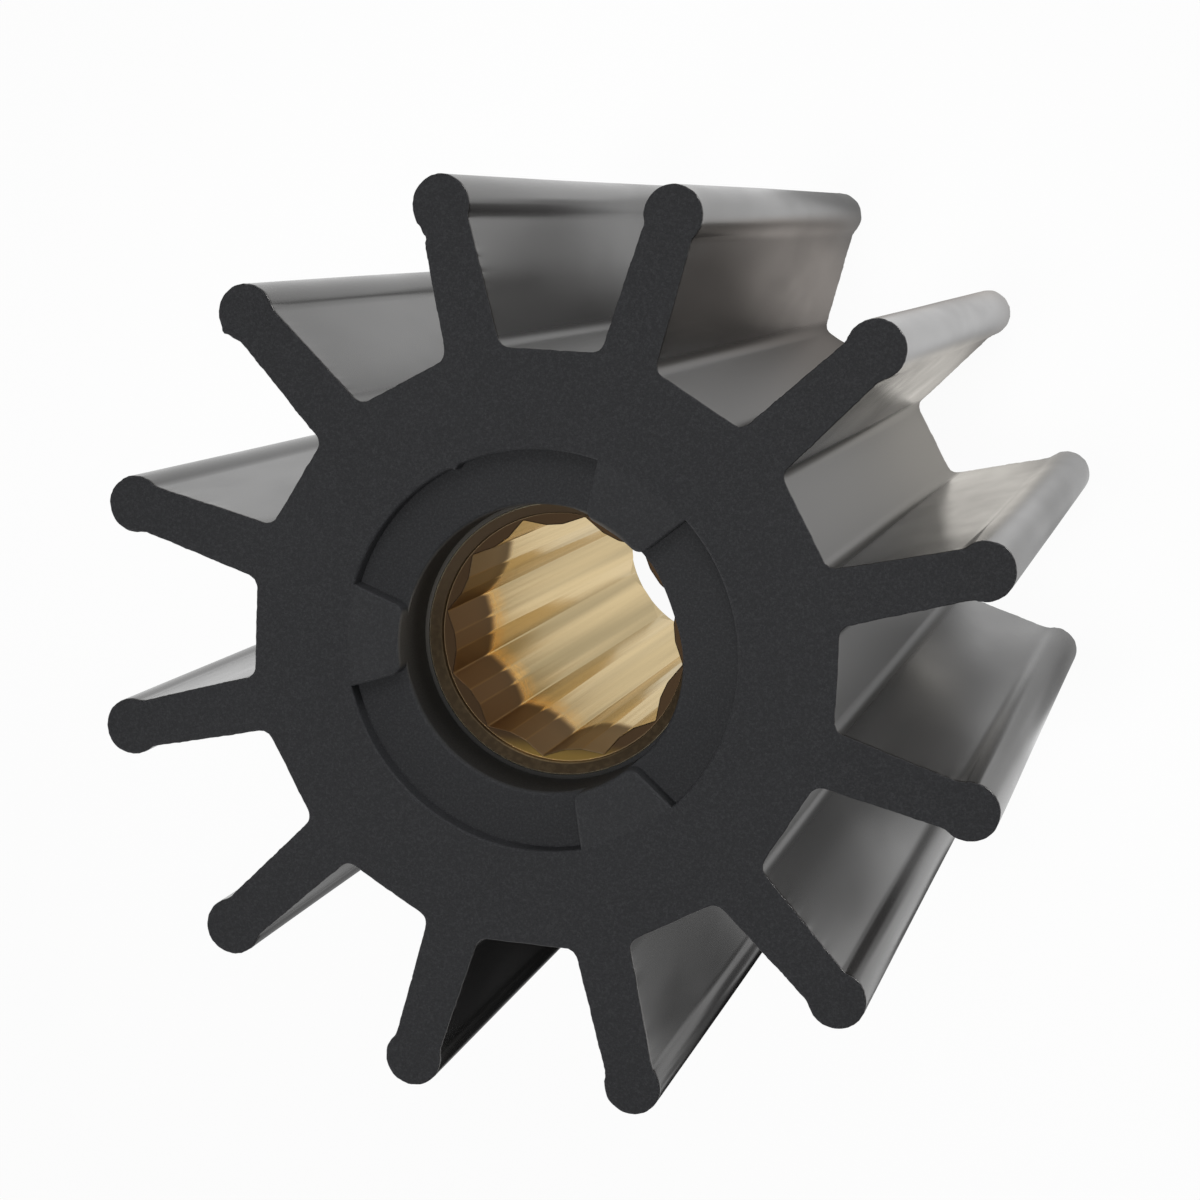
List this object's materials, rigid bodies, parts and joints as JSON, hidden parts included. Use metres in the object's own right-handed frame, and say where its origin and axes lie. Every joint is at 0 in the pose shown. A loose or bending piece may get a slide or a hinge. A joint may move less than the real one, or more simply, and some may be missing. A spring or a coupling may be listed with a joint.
{
  "type": "rubber pump impeller",
  "caption": "Flexible-vane pump impeller: moulded rubber body with bead-tipped radial blades, sunk end faces and an internally splined brass insert bonded in its bore.",
  "frame": {"origin": "centre of the rear end face, on the shaft axis", "axes": "+Z along the shaft axis from the rear face to the front face, +X through the gap between two blades"},
  "size_m": [0.092, 0.092, 0.0946],
  "materials": {
    "moulded_rubber": "matt ends, satin moulded sides",
    "turned_brass": "broached and turned, satin"
  },
  "bodies": {
    "root": {"impeller_body": "moulded_rubber", "spline_insert": "turned_brass"}
  },
  "joints": []
}
